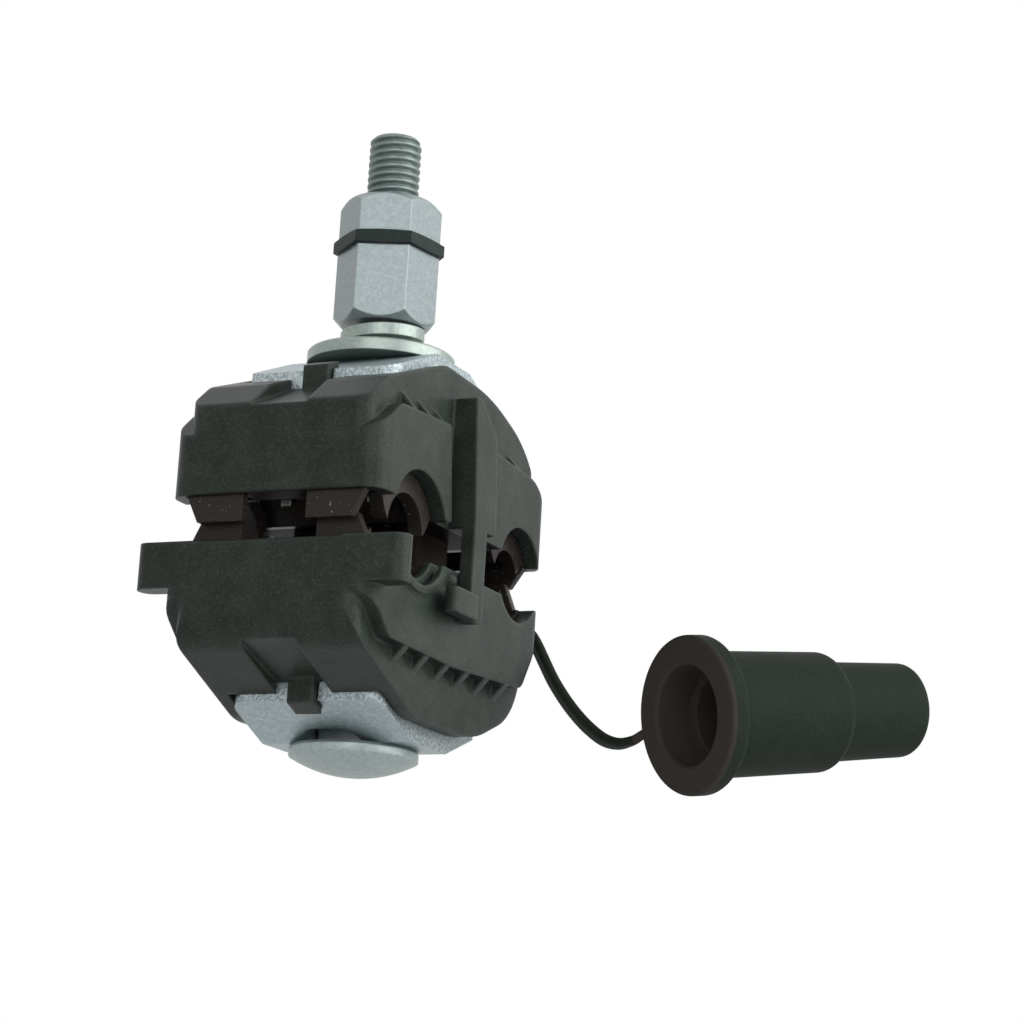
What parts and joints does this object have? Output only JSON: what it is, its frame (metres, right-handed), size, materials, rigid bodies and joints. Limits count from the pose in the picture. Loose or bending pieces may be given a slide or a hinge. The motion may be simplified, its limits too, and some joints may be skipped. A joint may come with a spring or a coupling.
{
  "type": "insulation piercing connector",
  "caption": "Clamp for joining two insulated conductors: black moulded jaws with toothed blades, drawn together by a bolt with a shear nut, and a tethered rubber end cap.",
  "frame": {"origin": "on the axis of the main conductor's seat, half way along the jaws", "axes": "+X along the conductors, +Y from the main conductor to the tap conductor, +Z along the bolt towards the shear nut"},
  "size_m": [0.1183, 0.1101, 0.1247],
  "materials": {
    "jaw_nylon": "moulded glass-filled nylon, black, weathered matt",
    "plate_steel": "hot-dip galvanised steel, grainy",
    "bolt_steel": "galvanised steel",
    "nut_metal": "tumbled aluminium alloy, fine grain",
    "ring_plastic": "moulded black plastic",
    "seal_rubber": "moulded elastomer, greased",
    "blade_copper": "tinned copper",
    "cap_rubber": "moulded elastomer, satin"
  },
  "bodies": {
    "lower": {"lower_jaw": "jaw_nylon", "lower_plate": "plate_steel", "bolt": "bolt_steel", "main_seal_lower": "seal_rubber", "tap_seal_lower": "seal_rubber", "blade_lower_front": "blade_copper", "blade_lower_rear": "blade_copper", "tether_strap": "cap_rubber", "end_cap": "cap_rubber"},
    "upper": {"upper_jaw": "jaw_nylon", "upper_plate": "plate_steel", "main_seal_upper": "seal_rubber", "tap_seal_upper": "seal_rubber", "blade_upper_front": "blade_copper", "blade_upper_rear": "blade_copper", "flat_washer": "plate_steel", "spring_washer": "bolt_steel"},
    "nut": {"shear_nut": "nut_metal", "torque_ring": "ring_plastic"}
  },
  "joints": [
    {"name": "jaw_slide", "type": "slide", "parent": "lower", "child": "upper", "axis": [0, 0, 1], "range_m": [-0.0075, 0.012]},
    {"name": "nut_spin", "type": "hinge", "parent": "upper", "child": "nut", "pos_m": [0, 0.021, 0.05], "axis": [0, 0, 1], "range_deg": [-1801, 2881]}
  ],
  "couplings": [
    {"joint": "nut_spin", "follows": "jaw_slide", "rad_per_m": 4188.8}
  ]
}
